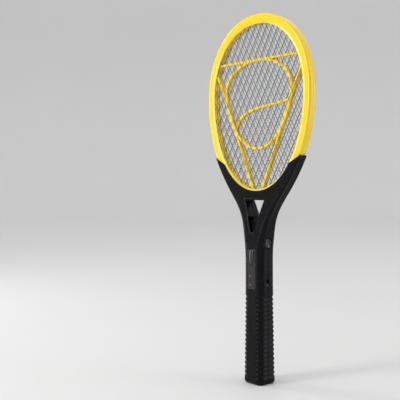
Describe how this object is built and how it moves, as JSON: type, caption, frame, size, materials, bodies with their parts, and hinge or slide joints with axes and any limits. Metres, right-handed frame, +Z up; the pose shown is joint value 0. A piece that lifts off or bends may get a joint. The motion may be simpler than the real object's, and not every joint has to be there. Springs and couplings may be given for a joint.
{
  "type": "electric fly swatter",
  "caption": "Racket-shaped electric fly swatter: an oval head with layered wire meshes on a yoked, battery-powered handle.",
  "frame": {"origin": "middle of the handle's flat foot", "axes": "+Z up the handle to the head, -Y the front with the push button, X across the head"},
  "size_m": [0.1876, 0.0318, 0.48],
  "materials": {
    "yellow_plastic": "moulded, soft gloss",
    "mesh_metal": "expanded sheet, dark",
    "screw_steel": "plated",
    "black_plastic": "moulded, semi-gloss",
    "panel_gloss": "polished",
    "button_gloss": "polished",
    "red_lens": "clear red",
    "board_green": "solder mask",
    "switch_body": "matt",
    "switch_metal": "bright",
    "copper_winding": "enamelled winding",
    "capacitor_red": "dipped",
    "capacitor_gold": "dipped",
    "resistor_tan": "lacquered",
    "cell_jacket": "sleeved",
    "lead_red": "insulated wire",
    "lead_black": "insulated wire"
  },
  "bodies": {
    "handle": {"front_rim": "yellow_plastic", "rear_rim": "yellow_plastic", "front_spacer": "yellow_plastic", "rear_spacer": "yellow_plastic", "front_mesh": "mesh_metal", "centre_mesh": "mesh_metal", "rear_mesh": "mesh_metal", "rim_screws": "screw_steel", "front_shell": "black_plastic", "rear_shell": "black_plastic", "shell_screws": "screw_steel", "control_panel": "panel_gloss", "indicator_leds": "red_lens", "circuit_board": "board_green", "board_screws": "screw_steel", "front_switch": "switch_body", "side_switch": "switch_body", "slide_switch": "switch_metal", "step_up_transformer": "copper_winding", "storage_capacitor": "capacitor_red", "pulse_capacitors": "capacitor_gold", "rectifier_diodes": "switch_body", "resistors": "resistor_tan", "transistor": "switch_body", "upper_cell": "cell_jacket", "lower_cell": "cell_jacket", "battery_spring": "screw_steel", "battery_plate": "screw_steel", "high_voltage_lead": "lead_red", "ground_lead": "lead_black", "battery_leads": "lead_red"},
    "battery_door": {"battery_door": "black_plastic"},
    "front_button": {"front_button": "button_gloss"},
    "side_button": {"side_button": "button_gloss"},
    "power_slider": {"slide_knob": "button_gloss"}
  },
  "joints": [
    {"name": "front_button_press", "type": "slide", "parent": "handle", "child": "front_button", "axis": [0, 1, 0], "range_m": [0, 0.0008], "stiffness_N_per_m": 900, "springref_m": -0.0006},
    {"name": "side_button_press", "type": "slide", "parent": "handle", "child": "side_button", "axis": [-1, 0, 0], "range_m": [0, 0.0012], "stiffness_N_per_m": 700, "springref_m": -0.0006},
    {"name": "power_slide", "type": "slide", "parent": "handle", "child": "power_slider", "axis": [0, 0, 1], "range_m": [0, 0.0045]},
    {"name": "battery_door_slide", "type": "slide", "parent": "handle", "child": "battery_door", "axis": [0, 0, -1], "range_m": [0, 0.008]}
  ]
}
